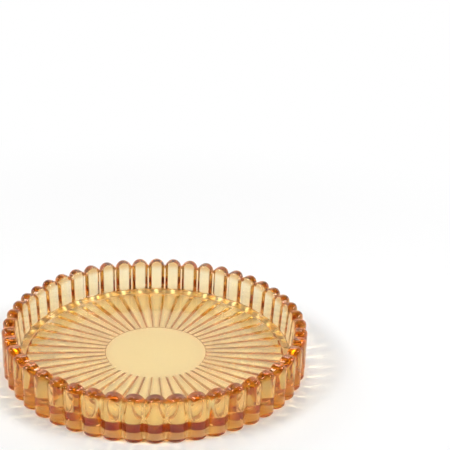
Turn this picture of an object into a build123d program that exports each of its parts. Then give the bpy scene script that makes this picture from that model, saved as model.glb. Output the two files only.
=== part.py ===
from build123d import *
from math import asin, cos, radians, sin, tan
import os

# Candle plate: one piece of pressed glass, a shallow round dish with a fluted wall.
# Sizes are in millimetres and angles in degrees. The origin is on the table, under the
# plate's centre, and +Z is up.
# The mould repeats one petal all round: a lobe of the wall with its domed crown, and the
# rib of the underside that runs in from it. The petal is modelled once and turned about Z.

# Driving sizes of the whole plate
tip_diameter = 144.0
height = 21.0
lobe_count = 48

# Sizes of the wall
rim_width = 6.2
wall_draft = 5.5
lobe_depth = 2.7
heel_chamfer = 0.7

# Sizes of the crowns on the rim
crown_drop = 2.8
crown_outer_round = 2.0
crown_inner_chamfer = 1.0

# Sizes of the floor
floor_height = 6.0
corner_chamfer = 1.0

# Sizes of the underside: the flat foot ring that the plate stands on, the gentle slope inside
# it, the plain groove round the ribs, the ribs, and the plain disc between their inner ends
foot_width = 4.2
slope_width = 5.8
groove_width = 0.5
centre_disc_diameter = 48.0
rib_stand_off = 0.3
rib_depth = 0.8
rib_end_step = 0.1

# Overrun of every cut past the glass
overrun = 2.0

# A petal's share of the circle, half to each side
tip_radius = tip_diameter / 2
half_pitch = 360 / lobe_count / 2

# The crease between two lobes lies on the petal's side plane
crease_radius = tip_radius - lobe_depth
crease_x = crease_radius * cos(radians(half_pitch))
crease_y = crease_radius * sin(radians(half_pitch))

# A crown's arch falls by crown_drop from its top to those creases
crown_radius = (crease_y**2 + crown_drop**2) / (2 * crown_drop)
crown_axis_height = height - crown_radius

# The inside of the dish narrows from its mouth to its floor
mouth_radius = tip_radius - rim_width
bowl_floor_radius = mouth_radius - (height - floor_height) * tan(radians(wall_draft))

# The foot ring, the slope and the groove lie between the lobe tips and the ribs
foot_inner_radius = tip_radius - foot_width
groove_outer_radius = foot_inner_radius - slope_width
rib_outer_radius = groove_outer_radius - groove_width

# A rib is a cone that lies on its side: its lowest line is level, and it widens outwards
rib_half_width = rib_outer_radius * tan(radians(half_pitch))
rib_radius = (rib_half_width**2 + rib_depth**2) / (2 * rib_depth)
rib_angle = asin(rib_radius / rib_outer_radius)
rib_axis = Axis((0, 0, rib_stand_off), (cos(rib_angle), 0, sin(rib_angle)))
rib_axis_length = (rib_outer_radius + overrun) * cos(rib_angle)
rib_axis_end_x = rib_axis_length * cos(rib_angle)
rib_axis_end_z = rib_stand_off + rib_axis_length * sin(rib_angle)

# The plain disc and the groove lie a small step above the valleys between the ribs, so each
# rib ends in a sloping nose on both sides
centre_disc_radius = centre_disc_diameter / 2
hub_radius = centre_disc_radius - overrun
disc_rise = rib_depth * centre_disc_radius / rib_outer_radius + rib_end_step
disc_height = rib_stand_off + disc_rise
groove_rise = rib_depth + rib_end_step
groove_height = rib_stand_off + groove_rise

# The ribs are cut from a blank that reaches a step lower than they do
blank_height = rib_stand_off - rib_end_step


def corner_at(radius, above_table):
    """The corner of the section being drawn that is nearest to a place given in it."""
    return vertices().sort_by_distance((radius, above_table))[0]


# The gap between two ribs: the ring that the ribs lie in, less the cone of a rib
with BuildPart() as rib_gap:
    with BuildSketch(Plane.XZ):
        with BuildLine():
            Polyline(
                (centre_disc_radius, blank_height - overrun),
                (rib_outer_radius, blank_height - overrun),
                (rib_outer_radius, rib_stand_off + rib_depth),
                (centre_disc_radius, rib_stand_off + rib_depth),
                close=True,
            )
        make_face()
    revolve(axis=Axis.Z)
    with BuildSketch(Plane.XZ):
        with BuildLine():
            Polyline(
                (0, rib_stand_off),
                (rib_outer_radius + overrun, rib_stand_off),
                (rib_axis_end_x, rib_axis_end_z),
                close=True,
            )
        make_face()
    revolve(axis=rib_axis, mode=Mode.SUBTRACT)

# One petal, from the plain middle of the floor out to the tip of its lobe
with BuildPart() as petal:
    # The radial section is turned through the petal's share of the circle
    with BuildSketch(Plane.XZ.rotated((0, 0, -half_pitch))):
        with BuildLine():
            Polyline(
                (hub_radius, disc_height),
                (centre_disc_radius, disc_height),
                (centre_disc_radius + disc_height - blank_height, blank_height),
                (rib_outer_radius - groove_height + blank_height, blank_height),
                (rib_outer_radius, groove_height),
                (groove_outer_radius, groove_height),
                (foot_inner_radius, 0),
                (tip_radius, 0),
                (tip_radius, height),
                (mouth_radius, height),
                (bowl_floor_radius, floor_height),
                (hub_radius, floor_height),
                close=True,
            )
        make_face()
        chamfer(corner_at(mouth_radius, height), length=crown_inner_chamfer)
        chamfer(corner_at(bowl_floor_radius, floor_height), length=corner_chamfer)
        chamfer(corner_at(tip_radius, 0), length=heel_chamfer)
    revolve(axis=Axis.Z, revolution_arc=2 * half_pitch)

    # The wall's outside is a round lobe between two creases
    with BuildSketch(Plane.XY):
        with BuildLine():
            inner_arc = CenterArc((0, 0), hub_radius, -half_pitch, 2 * half_pitch)
            lobe = ThreePointArc((crease_x, -crease_y), (tip_radius, 0), (crease_x, crease_y))
            Line(inner_arc @ 0, lobe @ 0)
            Line(inner_arc @ 1, lobe @ 1)
        make_face()
    extrude(amount=height, mode=Mode.INTERSECT)

    # The crown's shoulder is round where its top turns down into the wall
    with BuildSketch(Plane.XZ):
        with BuildLine():
            shoulder = CenterArc(
                (tip_radius - crown_outer_round, height - crown_outer_round),
                crown_outer_round, 0, 90,
            )
            Polyline(
                shoulder @ 1,
                (tip_radius - crown_outer_round, height + overrun),
                (tip_radius + overrun, height + overrun),
                (tip_radius + overrun, height - crown_outer_round),
                shoulder @ 0,
            )
        make_face()
    extrude(amount=crease_y + overrun, both=True, mode=Mode.SUBTRACT)

    # The crown's top is an arch along the radius, so its creases meet those of the wall
    with BuildSketch(Plane.YZ):
        with Locations((0, crown_axis_height / 2)):
            Rectangle(2 * crown_radius, crown_axis_height)
        with Locations((0, crown_axis_height)):
            Circle(crown_radius)
    extrude(amount=tip_radius + overrun, mode=Mode.INTERSECT)

    # The rib stays, and the gaps beside it are cut
    add(rib_gap.part, mode=Mode.SUBTRACT)

# The plate: the plain disc in the middle and the petals all round it
with BuildPart() as glass_plate:
    with BuildSketch(Plane.XY.offset(disc_height)):
        Circle(hub_radius)
    extrude(amount=floor_height - disc_height)
    with PolarLocations(0, lobe_count):
        add(petal.part)

glass_plate.part.label = "glass_plate"
os.makedirs("parts", exist_ok=True)
export_step(glass_plate.part, "parts/glass_plate.step")
print(f"glass_plate: {glass_plate.part.volume:.0f} cubic mm, {len(glass_plate.faces())} faces")
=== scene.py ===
# %% [markdown]
# A candle plate of amber pressed glass
#
# The plate is one piece of glass, pressed in a mould: a flat floor, a fluted wall whose lobes
# end in domed crowns, and a fan of ribs under the floor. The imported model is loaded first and
# stays the measure of everything here. Sizes in this file are in metres.

# %% Load the fixed frame
from math import asin, cos, pi, radians, sin, sqrt, tan

import bmesh
import bpy
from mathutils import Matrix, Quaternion, Vector


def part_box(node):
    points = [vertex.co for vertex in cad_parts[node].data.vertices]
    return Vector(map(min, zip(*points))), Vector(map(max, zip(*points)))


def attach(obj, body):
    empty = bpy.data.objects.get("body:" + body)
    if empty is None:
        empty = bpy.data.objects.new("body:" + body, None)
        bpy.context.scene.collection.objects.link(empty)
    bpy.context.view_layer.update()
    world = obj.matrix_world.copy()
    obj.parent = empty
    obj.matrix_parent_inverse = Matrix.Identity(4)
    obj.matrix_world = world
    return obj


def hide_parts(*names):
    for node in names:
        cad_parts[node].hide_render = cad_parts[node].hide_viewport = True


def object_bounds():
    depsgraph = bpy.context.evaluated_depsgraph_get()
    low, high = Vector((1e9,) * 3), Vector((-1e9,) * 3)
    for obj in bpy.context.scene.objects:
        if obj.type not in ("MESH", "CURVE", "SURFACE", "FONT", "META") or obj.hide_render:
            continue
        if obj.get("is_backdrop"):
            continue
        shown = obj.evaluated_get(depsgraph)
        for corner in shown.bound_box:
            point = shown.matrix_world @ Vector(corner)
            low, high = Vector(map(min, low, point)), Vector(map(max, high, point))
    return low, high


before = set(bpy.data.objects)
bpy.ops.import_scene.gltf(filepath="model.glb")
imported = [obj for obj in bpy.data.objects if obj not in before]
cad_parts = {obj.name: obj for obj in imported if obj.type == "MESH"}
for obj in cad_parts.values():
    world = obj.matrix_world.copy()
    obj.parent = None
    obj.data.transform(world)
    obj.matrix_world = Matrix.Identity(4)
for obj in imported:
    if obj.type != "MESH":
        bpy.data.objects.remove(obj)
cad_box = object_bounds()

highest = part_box("glass_plate")[1]
tip_radius = highest.x
height = highest.z
print(f"plate: {2000 * tip_radius:.1f} mm across the lobe tips, {1000 * height:.1f} mm high")

# %% [markdown]
# The camera comes first, so that every later step can be looked at in place.
#
# The plate is seen from a little above, low and to the left of the picture's middle. The
# camera could be shifted to put it there, but other views would keep that shift. It is turned
# instead: it stands straight in front of the plate and looks past it, with a small roll that
# keeps the plate's rim as level as the photograph shows it. The lens is given in picture
# pixels, because that is how it was measured from the plate's outline.

# %% The camera
picture_width = 450
focal_pixels = 1035
sensor_width = 36
camera_distance = 0.500
camera_elevation = radians(28.8)
camera_roll = radians(2.13)
facing_height = 0.010
look_at = Vector((0.0311, 0.0, 0.0699))
nearest_seen = 0.01
furthest_seen = 20


def add_camera():
    """A camera in front of the plate, turned to look past it."""
    back = camera_distance * cos(camera_elevation)
    up = facing_height + camera_distance * sin(camera_elevation)
    bpy.ops.object.camera_add(location=(0, -back, up))
    camera = bpy.context.object
    camera.name = "camera"
    camera.data.sensor_width = sensor_width
    camera.data.lens = focal_pixels * sensor_width / picture_width
    camera.data.clip_start = nearest_seen
    camera.data.clip_end = furthest_seen
    camera.rotation_mode = "QUATERNION"
    aim = (look_at - camera.location).to_track_quat("-Z", "Y")
    camera.rotation_quaternion = aim @ Quaternion((0, 0, 1), camera_roll)
    return camera


camera = add_camera()
bpy.context.scene.camera = camera
print(f"camera: lens {camera.data.lens:.1f} mm, {1000 * camera_distance:.0f} mm from the plate")

# %% [markdown]
# One petal of the plate is a forty-eighth of it: a lobe of the wall with its crown, and the rib
# that runs in under the floor. The mould repeats it, so it is modelled once.
#
# Each petal is the same on both sides of its middle, so half of it is enough. That half could
# be cut out of a turned dish, but cuts leave thin, uneven faces, and clear glass shows every
# one of them. So it is drawn as a run of radial sections, from the middle of the lobe to the
# crease beside it, and skinned. All sections have the same number of points, in the same order.
#
# Lobes, crowns and ribs are all scallops: a round bar that meets the next one in a valley. A
# mould has no sharp valleys, so a small arc joins the two bars there.

# %% The scallop rule
lobe_count = 48
half_pitch = pi / lobe_count


def scallop(share, half_width, depth, valley):
    """How far a scallop has dropped, at a share of its half width: 0 is its middle, 1 its valley."""
    across = share * half_width
    bar = (half_width**2 + depth**2) / (2 * depth) - valley
    if across <= half_width * bar / (bar + valley):
        return bar - sqrt(bar**2 - across**2)
    return depth - valley + sqrt(valley**2 - (half_width - across)**2)


lobe_depth = 0.0027
lobe_valley = 0.0006
lobe_half_width = (tip_radius - lobe_depth) * half_pitch


def lobe_radius(share):
    """The wall's outline, out to the tip of a lobe and in to the crease beside it."""
    return tip_radius - scallop(share, lobe_half_width, lobe_depth, lobe_valley)


print(f"lobe: {2000 * lobe_half_width:.1f} mm wide, {1000 * lobe_depth:.1f} mm deep")

# %% [markdown]
# The section through the middle of a lobe is a closed outline with rounded corners. On the real
# plate the fire polish rounds them: the crown most of all, then the corner of the floor and the
# heel. The outline is given by its corners, and each corner says how round it is.
#
# Long flat faces beside a small round would pick up its shading, so each straight run gets a
# point close to both of its ends.

# %% Rounded outlines
support = 0.00015


def rounded(corners):
    """Points along a run of corners (radius, height, roundness, steps), each corner an arc."""
    points = [Vector(corners[0][:2])]
    for before, corner, after in zip(corners, corners[1:], corners[2:]):
        here = Vector(corner[:2])
        back = (Vector(before[:2]) - here).normalized()
        ahead = (Vector(after[:2]) - here).normalized()
        half_angle = back.angle(ahead) / 2
        roundness, steps = corner[2], corner[3]
        reach = roundness / tan(half_angle)
        centre = here + (back + ahead).normalized() * roundness / sin(half_angle)
        start = here + back * reach - centre
        end = here + ahead * reach - centre
        sweep = start.angle(end)
        points.append(here + back * (reach + support))
        for step in range(steps + 1):
            share = step / steps
            arm = start * sin((1 - share) * sweep) + end * sin(share * sweep)
            points.append(centre + arm / sin(sweep))
        points.append(here + ahead * (reach + support))
    return points + [Vector(corners[-1][:2])]


# %% [markdown]
# The floor, the inside of the wall, the crown, the outside of the wall and the foot ring follow
# each other in the outline. The inside of the wall leans out a little, or the plate would not
# leave its mould.
#
# The plate stands on a narrow foot ring. Inside it the underside slopes up very gently to a
# plain groove, then come the ribs and a plain disc. The ribs stand lower than the groove and
# the disc, and end in a sloping nose on both sides. The gentle slope shows from outside: it
# mirrors the light that comes in through the wall, so the foot of the wall looks brown all
# round. A steep step there would let the pale table show through instead.

# %% The section through the middle of a lobe
rim_width = 0.0062
wall_draft = radians(5.5)
floor_height = 0.006
corner_round = 0.0006
crown_inner_round = 0.0012
crown_outer_round = 0.0024
heel_round = 0.0010
foot_width = 0.0042
foot_round = 0.0004
rib_outer_radius = 0.0615
rib_stand_off = 0.0003
rib_depth = 0.0008
rib_end_step = 0.0001
groove_width = 0.0005
nose_round = 0.0002
centre_disc_radius = 0.024

mouth_radius = tip_radius - rim_width
foot_inner_radius = tip_radius - foot_width
disc_rise = rib_depth * centre_disc_radius / rib_outer_radius + rib_end_step
disc_height = rib_stand_off + disc_rise
groove_rise = rib_depth + rib_end_step
groove_height = rib_stand_off + groove_rise
groove_outer_radius = rib_outer_radius + groove_width


def wall_radius(above_table):
    """The inside of the leaning wall, at a height above the table."""
    return mouth_radius - (height - above_table) * tan(wall_draft)


outline = rounded([
    (0, floor_height),
    (wall_radius(floor_height), floor_height, corner_round, 7),
    (mouth_radius, height, crown_inner_round, 5),
    (tip_radius, height, crown_outer_round, 8),
    (tip_radius, 0, heel_round, 5),
    (foot_inner_radius, 0, foot_round, 3),
    (groove_outer_radius, groove_height, nose_round, 2),
    (rib_outer_radius, groove_height, nose_round, 2),
    (rib_outer_radius - groove_rise, rib_stand_off, nose_round, 2),
    (centre_disc_radius + disc_rise, rib_stand_off, nose_round, 2),
    (centre_disc_radius, disc_height, nose_round, 2),
    (0, disc_height),
])
print(f"outline: {len(outline)} points")

# %% [markdown]
# Each petal has one rib. Both its width and the valley beside it grow evenly outwards, like a
# cone that lies on its side with its point on the plate's axis.
#
# Along the bottom of each valley runs a fine crease, pressed by the sharp ridge between two
# ribs of the mould. Its sides are steep enough to mirror the light sideways, so it shows as a
# thin dark line, from straight above too.
#
# The underside is the higher one of two shapes: the ring with its noses, and the valley. A
# plain maximum would leave hard edges, so a soft one is used. Outside the ring of ribs the
# valley fades away, so the disc and the groove stay flat.

# %% The ribs
rib_valley = 0.0003
crease_depth = 0.0004
crease_start = 0.92
rib_half_width = rib_outer_radius * half_pitch
rib_fade = 0.001
softness = 6


def soft_most(lengths):
    """A smooth stand-in for the greatest of some lengths."""
    return sum(length**softness for length in lengths) ** (1 / softness)


def underside(share, radius, above):
    """The height of the underside, where the middle of a rib has the height above."""
    crease = crease_depth * max(share - crease_start, 0) / (1 - crease_start)
    own = (scallop(share, rib_half_width, rib_depth, rib_valley) + crease) * radius / rib_outer_radius
    from_disc = radius - (centre_disc_radius + disc_rise - rib_fade)
    to_groove = rib_outer_radius - groove_rise + rib_fade - radius
    fade = min(max(min(from_disc, to_groove) / rib_fade, 0), 1)
    return rib_stand_off + soft_most([above - rib_stand_off, own * fade])


# %% [markdown]
# The noses and the ribs bend between the corners of the outline, so each straight run there is
# divided into shorter ones.

# %% Divide the runs under the ribs
slope_steps = 6
rib_steps = 4
fade_steps = 4


def divide(points, first, steps):
    """Divides the run that starts at one of the points into equal steps."""
    here, there = points[first:first + 2]
    points[first + 1:first + 1] = [here.lerp(there, step / steps) for step in range(1, steps)]


def run_near(points, radius):
    """The number of the underside's run that a radius lies in."""
    under = [index for index in range(1, len(points)) if points[index].y < floor_height / 2]
    return next(index - 1 for index in under if points[index].x <= radius <= points[index - 1].x)


outline.insert(-1, Vector((centre_disc_radius + disc_rise - rib_fade, disc_height)))
divide(outline, run_near(outline, centre_disc_radius - rib_fade / 2), fade_steps)
divide(outline, run_near(outline, centre_disc_radius + disc_rise / 2), slope_steps)
divide(outline, run_near(outline, (centre_disc_radius + rib_outer_radius) / 2), rib_steps)
divide(outline, run_near(outline, rib_outer_radius - groove_rise / 2), slope_steps)
print(f"outline with the ribs: {len(outline)} points")

# %% [markdown]
# Away from the lobe's middle the same outline is lowered and drawn in. The crown drops towards
# the crease, and all that lies between the inside of the wall and the lobe's tip is squeezed to
# the room that the lobe leaves there. So the crown becomes a dome that is round both ways.

# %% The section at any place of a petal
crown_drop = 0.0028
crown_valley = 0.0003
crown_foot = height - crown_outer_round
wall_foot = floor_height + corner_round


def petal_point(share, point):
    """A point of the lobe's middle section, moved to a share of the way to the crease."""
    radius, above = point
    if radius < rib_outer_radius + rib_fade and above < floor_height / 2:
        return radius, underside(share, radius, above)
    rise = min(max((above - wall_foot) / (crown_foot - wall_foot), 0), 1)
    lowered = above - rise * scallop(share, lobe_half_width, crown_drop, crown_valley)
    beyond = radius - wall_radius(above)
    if beyond > 0:
        beyond *= (lobe_radius(share) - wall_radius(lowered)) / (tip_radius - wall_radius(above))
    return wall_radius(lowered) + beyond, lowered


def section(share):
    """The whole section at a share of the way to the crease, as places in space."""
    angle = share * half_pitch
    places = []
    for point in outline:
        radius, above = petal_point(share, point)
        places.append(Vector((radius * cos(angle), radius * sin(angle), above)))
    return places


# %% [markdown]
# The sections stand close together where the wall turns most. Round the bar of the lobe they
# are set at equal turns, and three more follow the small valley.

# %% Where the sections stand
bar_steps = 7
valley_steps = 3
bar_and_valley = (lobe_half_width**2 + lobe_depth**2) / (2 * lobe_depth)
meeting_angle = asin(lobe_half_width / bar_and_valley)
bar_radius = bar_and_valley - lobe_valley
shares = [bar_radius * sin(meeting_angle * step / bar_steps) / lobe_half_width
          for step in range(bar_steps + 1)]
shares += [1 - lobe_valley * sin(meeting_angle * (1 - step / valley_steps)) / lobe_half_width
           for step in range(1, valley_steps + 1)]
print("sections at", [round(share, 3) for share in shares])

# %% [markdown]
# Each section is drawn as by hand: one vertex is set down, and extruded from point to point.
# There is no operator for a single vertex, so a speck of a square is merged into one. Two
# neighbouring sections are then bridged, which lays a strip of faces between them.

# %% Draw and bridge the half petal
speck = 0.0001


def select_vertices(mesh, first, count):
    """Selects a run of vertices of the mesh in edit mode, and nothing else."""
    bpy.ops.mesh.select_all(action="DESELECT")
    shape = bmesh.from_edit_mesh(mesh)
    shape.verts.ensure_lookup_table()
    for vertex in shape.verts[first:first + count]:
        vertex.select = True
    shape.select_flush_mode()
    bmesh.update_edit_mesh(mesh)


def draw_section(places):
    """Draws a chain of edges from place to place."""
    bpy.ops.mesh.select_all(action="DESELECT")
    bpy.ops.mesh.primitive_plane_add(size=speck, location=places[0])
    bpy.ops.mesh.merge(type="CENTER")
    for here, there in zip(places, places[1:]):
        bpy.ops.mesh.extrude_vertices_move(TRANSFORM_OT_translate={"value": there - here})


def draw_half_petal():
    """The half petal, skinned over its sections."""
    bpy.ops.object.select_all(action="DESELECT")
    bpy.ops.mesh.primitive_plane_add(size=speck)
    half = bpy.context.object
    half.name = "glass_plate_pressed"
    bpy.ops.object.mode_set(mode="EDIT")
    bpy.ops.mesh.select_mode(type="VERT")
    bpy.ops.mesh.select_all(action="SELECT")
    bpy.ops.mesh.delete(type="VERT")
    for share in shares:
        draw_section(section(share))
    for strip in range(len(shares) - 1):
        select_vertices(half.data, strip * len(outline), 2 * len(outline))
        bpy.ops.mesh.bridge_edge_loops()
    bpy.ops.object.mode_set(mode="OBJECT")
    return half


plate = draw_half_petal()
print(f"half petal: {len(plate.data.vertices)} vertices, {len(plate.data.polygons)} faces")

# %% [markdown]
# The half petal is mirrored, and the whole one is turned round the axis forty-seven times. The
# copies share their edges, so the doubled vertices are merged, and with them the run of points
# on the axis. Then all faces are turned outwards: clear glass with a face turned the wrong way
# would bend the light as if it were air. Edges sharper than the smooth angle stay sharp.

# %% Turn the petal into the plate
merge_distance = 0.000004
smooth_angle = radians(40)


def turn_into_plate(piece):
    """Mirrors the half petal and copies it round the plate's axis."""
    mirror = piece.modifiers.new("other half", "MIRROR")
    mirror.use_axis = (False, True, False)
    mirror.merge_threshold = merge_distance
    bpy.ops.object.modifier_apply(modifier=mirror.name)
    bpy.ops.object.mode_set(mode="EDIT")
    bpy.ops.mesh.select_all(action="SELECT")
    bpy.ops.mesh.spin(steps=lobe_count - 1, dupli=True, angle=2 * pi * (1 - 1 / lobe_count),
                      center=(0, 0, 0), axis=(0, 0, 1))
    bpy.ops.mesh.select_all(action="SELECT")
    bpy.ops.mesh.remove_doubles(threshold=merge_distance)
    bpy.ops.mesh.normals_make_consistent(inside=False)
    bpy.ops.object.mode_set(mode="OBJECT")
    bpy.ops.object.shade_smooth_by_angle(angle=smooth_angle)


turn_into_plate(plate)


def describe(piece):
    """Prints what the piece measures, and how many of its edges are open."""
    shape = bmesh.new()
    shape.from_mesh(piece.data)
    open_edges = sum(not edge.is_manifold for edge in shape.edges)
    triangles = sum(len(face.verts) - 2 for face in shape.faces)
    volume = shape.calc_volume(signed=True)
    print(f"{piece.name}: {triangles} triangles, {open_edges} open edges, {volume * 1e9:.0f} cubic mm")
    shape.free()


describe(plate)

# %% [markdown]
# The glass takes its colour from its thickness. It is tinted all through, so thin places look
# like honey, and the crowns, which light crosses lengthwise, turn a deep red-brown. A tinted
# surface alone could not do that. So the colour is an absorption inside: blue is lost within a
# few millimetres, green more slowly, and red least of all. The crowns also get a painted shade.

# %% The amber body of the glass
glass_ior = 1.52
absorption_density = 120
absorption_colour = (0.930, 0.757, 0.225, 1)


def add_node(tree, kind, at, **values):
    """Adds a node and sets its inputs by name."""
    node = tree.nodes.new(kind)
    node.location = at
    for name, value in values.items():
        node.inputs[name.replace("_", " ")].default_value = value
    return node


def empty_material(name):
    """A material with nothing but an output node."""
    material = bpy.data.materials.new(name)
    material.use_nodes = True
    material.node_tree.nodes.clear()
    return material, add_node(material.node_tree, "ShaderNodeOutputMaterial", (600, 0))


glass, glass_output = empty_material("amber_pressed_glass")
tree = glass.node_tree
body = add_node(tree, "ShaderNodeVolumeAbsorption", (300, -400),
                Color=absorption_colour, Density=absorption_density)
skin = add_node(tree, "ShaderNodeBsdfPrincipled", (300, 0), IOR=glass_ior, Transmission_Weight=1.0)
tree.links.new(body.outputs["Volume"], glass_output.inputs["Volume"])
tree.links.new(skin.outputs["BSDF"], glass_output.inputs["Surface"])
print(f"glass: it bends light by {glass_ior}")

# %% [markdown]
# Pressed glass is never quite flat. Its skin has the slow waves of the mould and of the fire
# polish. Where the mould was colder the skin is a little less glossy, and it holds a breath of
# colour there.

# %% The waves and the tint of the skin
wave_scale = 110
wave_detail = 2
wave_unevenness = 0.45
wave_height = 0.000012
chill_scale = 45
chill_detail = 4
chill_unevenness = 0.6
warm_tint = (1.0, 0.985, 0.955, 1)
white = (1.0, 1.0, 1.0, 1)

place = add_node(tree, "ShaderNodeTexCoord", (-1200, 0)).outputs["Object"]
waves = add_node(tree, "ShaderNodeTexNoise", (-600, -200),
                 Scale=wave_scale, Detail=wave_detail, Roughness=wave_unevenness)
bump = add_node(tree, "ShaderNodeBump", (0, -200), Strength=1.0, Distance=wave_height)
chill = add_node(tree, "ShaderNodeTexNoise", (-600, 200),
                 Scale=chill_scale, Detail=chill_detail, Roughness=chill_unevenness)
tree.links.new(place, waves.inputs["Vector"])
tree.links.new(place, chill.inputs["Vector"])
tree.links.new(waves.outputs["Fac"], bump.inputs["Height"])
tree.links.new(bump.outputs["Normal"], skin.inputs["Normal"])


def blend_colours(tree, share, first, second, at):
    """A colour between two others. Each is a fixed colour or comes from another node."""
    node = add_node(tree, "ShaderNodeMix", at)
    node.data_type = "RGBA"
    tree.links.new(share, node.inputs["Factor"])
    first_socket, second_socket = [socket for socket in node.inputs if socket.type == "RGBA"]
    for socket, colour in ((first_socket, first), (second_socket, second)):
        if isinstance(colour, tuple):
            socket.default_value = colour
        else:
            tree.links.new(colour, socket)
    return next(socket for socket in node.outputs if socket.type == "RGBA")


tint = blend_colours(tree, chill.outputs["Fac"], warm_tint, white, (-300, 200))
print(f"skin: waves of {1e6 * wave_height:.0f} micrometres, {1000 / wave_scale:.0f} mm long")

# %% [markdown]
# The crowns are painted redder and darker than the wall below them. This is a painted shade: it
# stands for the deep colour that light takes on its long way through them.

# %% The painted shade of the crowns
# Painted shade: this colour darkens the crowns, and fades in between the two heights below.
crown_painted_shade = (0.72, 0.47, 0.25, 1)
crown_shade_start = 0.0165
crown_shade_full = 0.0195

place_parts = add_node(tree, "ShaderNodeSeparateXYZ", (-900, 700))
# Painted shade: a ramp by height that brings in the crowns' darker colour.
crown_shade_ramp = add_node(tree, "ShaderNodeMapRange", (-300, 900), From_Min=crown_shade_start, From_Max=crown_shade_full)
crown_shade_ramp.interpolation_type = "SMOOTHSTEP"
tree.links.new(place, place_parts.inputs["Vector"])
tree.links.new(place_parts.outputs["Z"], crown_shade_ramp.inputs["Value"])
colour = blend_colours(tree, crown_shade_ramp.outputs["Result"], tint, crown_painted_shade, (0, 200))
tree.links.new(colour, skin.inputs["Base Color"])
print(f"crowns: redder from {1000 * crown_shade_start:.1f} mm above the table")

# %% [markdown]
# The underside hardly sees the fire polish, because the plate stands on it. It keeps the fine
# grain of the mould, so the ribs look a little soft through the floor. The slope between the
# ribs and the foot ring is the coarsest. The grain calms the brown band that the slope shows
# through the foot of the wall. The foot ring itself stays glossy: a matt one would split that
# band into two tones.

# %% The gloss of the skin, and of the underside
chill_roughness = 0.02
rib_roughness = 0.12
slope_roughness = 0.27
under_height = 0.0028
under_blend = 0.0002


def below(tree, value, limit, at):
    """Gives 1 where a value is below a limit and 0 where it is above, with a small blend."""
    node = add_node(tree, "ShaderNodeMapRange", at, From_Min=limit - under_blend,
                    From_Max=limit + under_blend, To_Min=1.0, To_Max=0.0)
    tree.links.new(value, node.inputs["Value"])
    return node.outputs["Result"]


def combine(tree, operation, first, second, at):
    """The outcome of a sum with two values, such as MULTIPLY or MAXIMUM."""
    node = add_node(tree, "ShaderNodeMath", at)
    node.operation = operation
    tree.links.new(first, node.inputs[0])
    tree.links.new(second, node.inputs[1])
    return node.outputs["Value"]


def distance_from_axis(tree, place):
    """How far a place is from the plate's axis."""
    flat = add_node(tree, "ShaderNodeVectorMath", (-900, 500))
    flat.operation = "MULTIPLY"
    flat.inputs[1].default_value = (1, 1, 0)
    length = add_node(tree, "ShaderNodeVectorMath", (-700, 500))
    length.operation = "LENGTH"
    tree.links.new(place, flat.inputs[0])
    tree.links.new(flat.outputs["Vector"], length.inputs[0])
    return length.outputs["Value"]


from_axis = distance_from_axis(tree, place)
inside = below(tree, from_axis, foot_inner_radius, (-500, 500))
low = below(tree, place_parts.outputs["Z"], under_height, (-500, 700))
under = combine(tree, "MULTIPLY", inside, low, (-200, 600))
gloss = add_node(tree, "ShaderNodeMapRange", (-300, 0), To_Min=0.0, To_Max=chill_roughness)
grain = add_node(tree, "ShaderNodeMapRange", (-300, 400), From_Min=rib_outer_radius,
                 From_Max=groove_outer_radius, To_Min=rib_roughness, To_Max=slope_roughness)
tree.links.new(chill.outputs["Fac"], gloss.inputs["Value"])
tree.links.new(from_axis, grain.inputs["Value"])
under_grain = combine(tree, "MULTIPLY", under, grain.outputs["Result"], (0, 500))
roughness = combine(tree, "ADD", under_grain, gloss.outputs["Result"], (150, 400))
tree.links.new(roughness, skin.inputs["Roughness"])
print(f"gloss: roughness {rib_roughness} on the ribs, {slope_roughness} on the slope")

# %% [markdown]
# The finished glass goes on the new plate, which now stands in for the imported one.

# %% Put the glass on the plate
plate.data.materials.clear()
plate.data.materials.append(glass)
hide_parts("glass_plate")
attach(plate, "root")
print(f"{plate.name} now has {plate.data.materials[0].name}")

# %% [markdown]
# The plate stands on a white table in a white studio. Near the plate the table is matt paper,
# so it takes the plate's shadow. Further out it turns into plain white, because the lamps are
# close to the plate and would leave it grey there. Only rays that come straight from the
# camera, or by way of the glass, meet that plain white, so it adds no light to the plate.

# %% The table top
table_size = 12.0
table_gap = 0.00005
table_white = 0.97
paper_radius = 0.12
plain_radius = 0.35


def seen_rays(tree):
    """Gives 1 for rays from the camera and for those that the glass has bent or mirrored."""
    rays = add_node(tree, "ShaderNodeLightPath", (-700, 300)).outputs
    bent = combine(tree, "MAXIMUM", rays["Is Glossy Ray"], rays["Is Transmission Ray"], (-500, 200))
    return combine(tree, "MAXIMUM", rays["Is Camera Ray"], bent, (-300, 300))


def table_material():
    """Matt white paper near the plate, and plain white further out."""
    material, output = empty_material("white_table")
    tree = material.node_tree
    paper = add_node(tree, "ShaderNodeBsdfDiffuse", (0, 100),
                     Color=(table_white, table_white, table_white, 1))
    plain = add_node(tree, "ShaderNodeEmission", (0, -100), Color=white, Strength=1.0)
    place = add_node(tree, "ShaderNodeTexCoord", (-950, 500)).outputs["Object"]
    far = add_node(tree, "ShaderNodeMapRange", (-350, 500), From_Min=paper_radius, From_Max=plain_radius)
    far.interpolation_type = "SMOOTHSTEP"
    both = add_node(tree, "ShaderNodeMixShader", (300, 0))
    tree.links.new(distance_from_axis(tree, place), far.inputs["Value"])
    share = combine(tree, "MULTIPLY", far.outputs["Result"], seen_rays(tree), (-100, 400))
    tree.links.new(share, both.inputs["Fac"])
    tree.links.new(paper.outputs["BSDF"], both.inputs[1])
    tree.links.new(plain.outputs["Emission"], both.inputs[2])
    tree.links.new(both.outputs["Shader"], output.inputs["Surface"])
    return material


bpy.ops.object.select_all(action="DESELECT")
bpy.ops.mesh.primitive_plane_add(size=table_size, location=(0, 0, -table_gap))
table = bpy.context.object
table.name = "table_top"
bpy.ops.object.transform_apply(location=True, rotation=False, scale=False)
table.data.materials.append(table_material())
table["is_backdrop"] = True
print(f"table: paper out to {1000 * paper_radius:.0f} mm, plain white from {1000 * plain_radius:.0f} mm")

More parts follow.
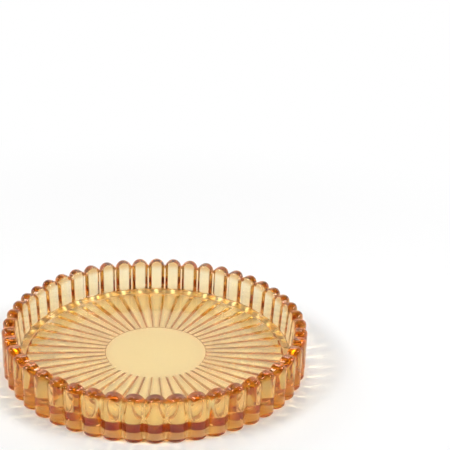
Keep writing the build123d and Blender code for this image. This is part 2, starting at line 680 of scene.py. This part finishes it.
# %% [markdown]
# Glass has no look of its own: it shows what stands round it. The studio is white all round at
# table height, and the white reaches higher behind the plate, where its backdrop hangs. It is
# dark overhead and on the camera's side. The dark parts give the glass its brown lines, and the
# crowns their deep colour. Where the camera looks straight at the studio, it is plain white.

# %% The white surroundings
ceiling_start = 0.25
ceiling_end = 0.55
ceiling_light = 0.05
backdrop_rise = 0.35
front_start = -0.20
front_end = -0.85
front_light = 0.10

world = bpy.data.worlds.new("studio")
bpy.context.scene.world = world
world.use_nodes = True
studio = world.node_tree
background = studio.nodes["Background"]
background.inputs["Color"].default_value = white
direction = add_node(studio, "ShaderNodeTexCoord", (-1000, 0))
direction_parts = add_node(studio, "ShaderNodeSeparateXYZ", (-800, 0))
studio.links.new(direction.outputs["Generated"], direction_parts.inputs["Vector"])


def fade_light(tree, value, start, end, light, at):
    """Full light up to the start, falling to the given light at the end."""
    low, high = sorted([start, end])
    first, last = (1.0, light) if start < end else (light, 1.0)
    node = add_node(tree, "ShaderNodeMapRange", at, From_Min=low, From_Max=high, To_Min=first, To_Max=last)
    node.interpolation_type = "SMOOTHSTEP"
    tree.links.new(value, node.inputs["Value"])
    return node.outputs["Result"]


upward = add_node(studio, "ShaderNodeMath", (-600, 0))
upward.operation = "MULTIPLY_ADD"
upward.inputs[1].default_value = -backdrop_rise
rays = add_node(studio, "ShaderNodeLightPath", (-500, 300)).outputs
overhead = fade_light(studio, upward.outputs["Value"],
                      ceiling_start, ceiling_end, ceiling_light, (-400, 0))
camera_side = fade_light(studio, direction_parts.outputs["Y"],
                         front_start, front_end, front_light, (-400, -300))
studio.links.new(direction_parts.outputs["Y"], upward.inputs[0])
studio.links.new(direction_parts.outputs["Z"], upward.inputs[2])
around = combine(studio, "MULTIPLY", overhead, camera_side, (-200, -100))
seen = combine(studio, "MAXIMUM", rays["Is Camera Ray"], around, (-50, 100))
studio.links.new(seen, background.inputs["Strength"])
print(f"surroundings: light {ceiling_light} overhead, {front_light} behind the camera")

# %% [markdown]
# Five square lamps stand round the plate. The two large ones at the sides and the one behind
# light the table. The two small ones, further back and lower, put bright spots on the crowns.
# Each has a name, its azimuth and elevation in degrees, its size, and its light: the share of
# full white that it alone gives a white sheet that faces it.

# %% The softboxes
lamp_distance = 1.0
softboxes = [
    ("softbox_left", -70, 45, 0.30, 0.42),
    ("softbox_right", 70, 45, 0.30, 0.42),
    ("softbox_back", 180, 60, 0.30, 0.20),
    ("spot_left", -115, 36, 0.16, 0.07),
    ("spot_right", 115, 36, 0.16, 0.07),
]


def add_softbox(name, azimuth, elevation, size, light):
    """A square lamp that looks at the plate. Azimuth 0 is the camera's side, and 90 the right."""
    turn, rise = radians(azimuth), radians(elevation)
    towards = Vector((sin(turn) * cos(rise), -cos(turn) * cos(rise), sin(rise)))
    bpy.ops.object.light_add(type="AREA", location=towards * lamp_distance)
    lamp = bpy.context.object
    lamp.name = name
    lamp.data.shape = "SQUARE"
    lamp.data.size = size
    lamp.data.energy = light * (pi * lamp_distance)**2
    lamp.rotation_mode = "QUATERNION"
    lamp.rotation_quaternion = (-towards).to_track_quat("-Z", "Y")


for softbox in softboxes:
    add_softbox(*softbox)
print(f"softboxes: {len(softboxes)}")

# %% [markdown]
# Light crosses the glass many times before it leaves it, above all in the crowns and the wall.
# With too few bounces those paths end in black, so the limits are raised.

# %% Render settings
glass_bounces = 40
table_bounces = 6
see_through_bounces = 16

scene = bpy.context.scene
scene.view_settings.view_transform = "Standard"
scene.cycles.blur_glossy = 0
scene.cycles.max_bounces = glass_bounces
scene.cycles.transmission_bounces = glass_bounces
scene.cycles.glossy_bounces = glass_bounces
scene.cycles.diffuse_bounces = table_bounces
scene.cycles.transparent_max_bounces = see_through_bounces
print(f"light may bounce {glass_bounces} times")

# %% [markdown]
# The new plate must not be larger than the imported one, so both sizes are kept side by side.

# %% Print the sizes
new_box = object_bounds()
sizes = {"cad": [list(corner) for corner in cad_box], "visual": [list(corner) for corner in new_box]}
for name, box in sizes.items():
    print(f"{name} box in mm:", [[round(1000 * length, 2) for length in corner] for corner in box])
